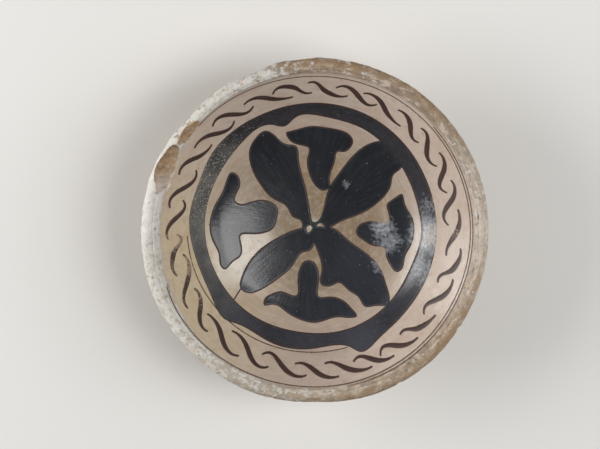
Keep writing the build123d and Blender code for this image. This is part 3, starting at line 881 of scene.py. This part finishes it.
rubbed_strokes = [(-60.8, -4.2, 7, 0.5), (-57, -16, 9, 0.42), (-52, -30, 9, 0.32), (61, -1, 5, 0.3)]
worn = strongest(tree, flat, rubbed_strokes, 0.3)
scour = add(tree, "ShaderNodeMath", {0: fine, 1: worn}, operation="ADD").outputs[0]
rubbed = add(tree, "ShaderNodeMapRange", {0: scour, 1: 0.72, 2: 0.9, 3: 0.0, 4: 0.85}).outputs[0]
rubbed = add(tree, "ShaderNodeMath", {0: rubbed, 1: thin}, operation="MAXIMUM").outputs[0]
seen = add(tree, "ShaderNodeMix", {0: rubbed, 6: seen, 7: "#9a8672"}, data_type="RGBA").outputs[2]
tree.links.new(seen, shader.inputs["Base Color"])
shader.inputs["Roughness"].default_value = 0.5
grain = add(tree, "ShaderNodeBump", {"Height": fine, "Strength": 0.3, "Distance": paint_relief}).outputs[0]
tree.links.new(grain, shader.inputs["Normal"])
print("brown paint nodes:", len(tree.nodes))

# %% [markdown]
# ## Pressing the marks flat
#
# Each painted mark takes its outline from the CAD. The CAD's solid could be shown as it is, but
# its long triangles can't bend with the worn rim, and its edges are square. So the upper faces of
# the node are pressed flat into a plan first.

# %% Press the marks flat
paint_depth = 0.2 * MM
paint_gap = 0.08 * MM
# A point this far above the clay belongs to the upper face of the CAD's paint
paint_top = slip_depth + paint_gap + 0.8 * paint_depth


def pressed(name):
    """The plan of a painted mark, flat, and the two ends of each piece of its outline."""
    bm = bmesh.new()
    bm.from_mesh(frame["nodes"][name].data)
    bmesh.ops.remove_doubles(bm, verts=bm.verts, dist=weld)
    buried = []
    for vertex in bm.verts:
        floor, lean = inside(math.hypot(vertex.co.x, vertex.co.y))
        if (vertex.co.z - floor) * math.cos(lean) < paint_top:
            buried.append(vertex)
    bmesh.ops.delete(bm, geom=buried, context="VERTS")
    for vertex in bm.verts:
        vertex.co.z = 0
    bmesh.ops.remove_doubles(bm, verts=bm.verts, dist=weld)
    return bm, np.array([[end.co.xy for end in edge.verts] for edge in bm.edges if edge.is_boundary])


strokes = [name for name in frame["nodes"] if name.startswith("wave_stroke")]
lines = ["rim_line", "rim_line_second_pass", "band_guide_line"]
dark = [name for name in frame["nodes"] if name.startswith(("petal", "bud"))] + ["broad_band"]
marks = {name: pressed(name) for name in strokes + lines + dark}
print("marks pressed flat:", len(marks))

# %% [markdown]
# ## Laying the paint down
#
# A flat mark is cut on a fine grid so that it can bend, laid back on the slip and given its
# thickness. Paint thins towards the edge of a brush mark, so each vertex also stores how far
# inside the outline it lies, which the shader reads as "edge". Where two dark marks run into each
# other there is no edge, so those stretches of outline are left out.

# %% Find the free edges
# Outlines nearer than this to another mark run into it
touching = 0.12 * MM


def distance_to(outline, point):
    """Distance from a point to the nearest piece of an outline."""
    run = outline[:, 1] - outline[:, 0]
    offset = np.array(point) - outline[:, 0]
    share = np.clip((offset * run).sum(1) / (run ** 2).sum(1), 0, 1)
    return float(np.hypot(*(offset - share[:, None] * run).T).min())


def free_edge(name):
    """The pieces of a mark's outline that don't run into a dark mark beside it."""
    outline = marks[name][1]
    least = outline.min((0, 1))
    most = outline.max((0, 1))
    beside = [marks[other][1] for other in dark if other != name]
    beside = [other for other in beside
              if (other.min((0, 1)) < most).all() and (other.max((0, 1)) > least).all()]
    free = [all(distance_to(other, middle) > touching for other in beside) for middle in outline.mean(1)]
    return outline[free]


edges = {name: free_edge(name) for name in marks}
print("free pieces of outline:", sum(len(edge) for edge in edges.values()))

# %% Lay one mark
# Brushed slip dries to less than the CAD's solid, so its edges catch less light
film = 0.12 * MM
thin_film = 0.15
film_rise = 0.8 * MM
into_slip = 0.1 * MM
# A grid cut this near to a point goes through the point, so that no slivers are left
near_cut = 0.02 * MM


def lay(name, material, slot, grid):
    """Builds the skin of paint that stands for this CAD node."""
    bm, outline = marks[name]
    for axis in (0, 1):
        across = Vector((axis == 0, axis == 1, 0))
        first = math.ceil(outline[:, :, axis].min() / grid)
        last = math.ceil(outline[:, :, axis].max() / grid)
        for step in range(first, last):
            bmesh.ops.bisect_plane(bm, geom=bm.verts[:] + bm.edges[:] + bm.faces[:], dist=near_cut,
                                   plane_co=across * step * grid, plane_no=across)
    edge_layer = bm.verts.layers.float.new("edge")
    for vertex in bm.verts:
        vertex[edge_layer] = distance_to(edges[name], vertex.co.xy)
    made = bmesh.ops.extrude_face_region(bm, geom=bm.faces[:], use_keep_orig=True)
    tops = {part for part in made["geom"] if isinstance(part, bmesh.types.BMVert)}
    for vertex in bm.verts:
        floor, lean = inside(math.hypot(vertex.co.x, vertex.co.y))
        full = thin_film + (1 - thin_film) * smooth(vertex[edge_layer], 0, film_rise)
        lift = slip_depth + (film * full if vertex in tops else -into_slip)
        vertex.co = settle(Vector((vertex.co.x, vertex.co.y, floor + lift / math.cos(lean))))
    bmesh.ops.recalc_face_normals(bm, faces=bm.faces)
    return place(bm, name + "_paint", material, slot, name)


print("paint up to %.2f mm thick" % (film / MM))

# %% Lay all the marks
stroke_grid = 0.6 * MM
dark_grid = 0.8 * MM
painted = [lay(name, brown, "brown_paint", stroke_grid) for name in strokes + lines]
painted += [lay(name, black, "black_paint", dark_grid) for name in dark]
print("marks laid:", len(painted), "with", sum(len(piece.data.polygons) for piece in painted), "faces")

# %% [markdown]
# ## Light
#
# A large soft lamp stands low on the left and a smaller one on the right, and a third hangs high
# for the sheen on the paint. The room fills the shadows. The room's light alone would be simpler,
# but the brush marks and the edges of the slip need light from one side to show.

# %% Light the room
scene = bpy.context.scene
scene.view_settings.view_transform = "Standard"
room = bpy.data.worlds.new("soft room")
room.use_nodes = True
room_light = room.node_tree.nodes["Background"]
room_light.inputs["Color"].default_value = linear("#f4f3f1")
room_light.inputs["Strength"].default_value = 0.12
scene.world = room
print("room light:", round(room_light.inputs["Strength"].default_value, 2))

# %% Hang the lamps
lamp_distance = 0.9


def lamp(name, azimuth, elevation, size, level):
    """A square soft lamp that faces the bowl and gives a white card there this share of full light."""
    light = bpy.data.lights.new(name, "AREA")
    light.size = size
    light.energy = level * math.pi ** 2 * lamp_distance ** 2
    turn = math.radians(azimuth)
    rise = math.radians(elevation)
    aim = Vector((math.cos(turn) * math.cos(rise), math.sin(turn) * math.cos(rise), math.sin(rise)))
    stand = bpy.data.objects.new(name, light)
    facing = aim.to_track_quat("Z", "Y").to_matrix().to_4x4()
    stand.matrix_world = Matrix.Translation(aim * lamp_distance) @ facing
    scene.collection.objects.link(stand)
    return stand


lamps = [lamp("left lamp", 172, 25, 0.6, 1.0),
         lamp("right lamp", 6, 35, 0.4, 0.27),
         lamp("high lamp", 2, 63, 0.42, 0.44)]
print("lamps:", [stand.name for stand in lamps])

# %% [markdown]
# ## Floor and camera
#
# The bowl lies on a pale sheet. It is one large plane, because only its tone and the shadow on it
# are seen. The camera looks almost straight down through a long lens, as in the photograph. It
# could track a target, but a fixed place and direction say the same with less.

# %% Lay the floor
# Uncoated paper is matt, so the eye gets a plain pale ground with soft shadows
floor_half = 3.0
bm = bmesh.new()
bmesh.ops.create_grid(bm, x_segments=1, y_segments=1, size=floor_half)
floor_mesh = bpy.data.meshes.new("floor")
bm.to_mesh(floor_mesh)
bm.free()
paper, tree, shader, here = new_material("Pale matt paper")
shader.inputs["Base Color"].default_value = linear("#e4e2de")
shader.inputs["Roughness"].default_value = 0.9
floor_mesh.materials.append(paper)
floor = bpy.data.objects.new("floor", floor_mesh)
scene.collection.objects.link(floor)
print("floor: %.0f m wide" % (2 * floor_half))

# %% Set up the camera
lens = bpy.data.cameras.new("camera")
lens.lens = 100
lens.sensor_width = 36
lens.sensor_fit = "HORIZONTAL"
lens.clip_start = 0.01
camera = bpy.data.objects.new("camera", lens)
# Place and direction are matched to the photograph's rim and floor
camera_place = Vector((-31.5, 98.1, 752.5)) * MM
toward = Vector((-0.0346, 0.1322, 0.9906)).normalized()
right = Vector((0, 1, 0)).cross(toward).normalized()
up = toward.cross(right)
camera_turn = Matrix((right, up, toward)).transposed().to_4x4()
camera.matrix_world = Matrix.Translation(camera_place) @ camera_turn
scene.collection.objects.link(camera)
scene.camera = camera
print("camera %.1f degrees off the vertical" % math.degrees(math.acos(toward.z)))
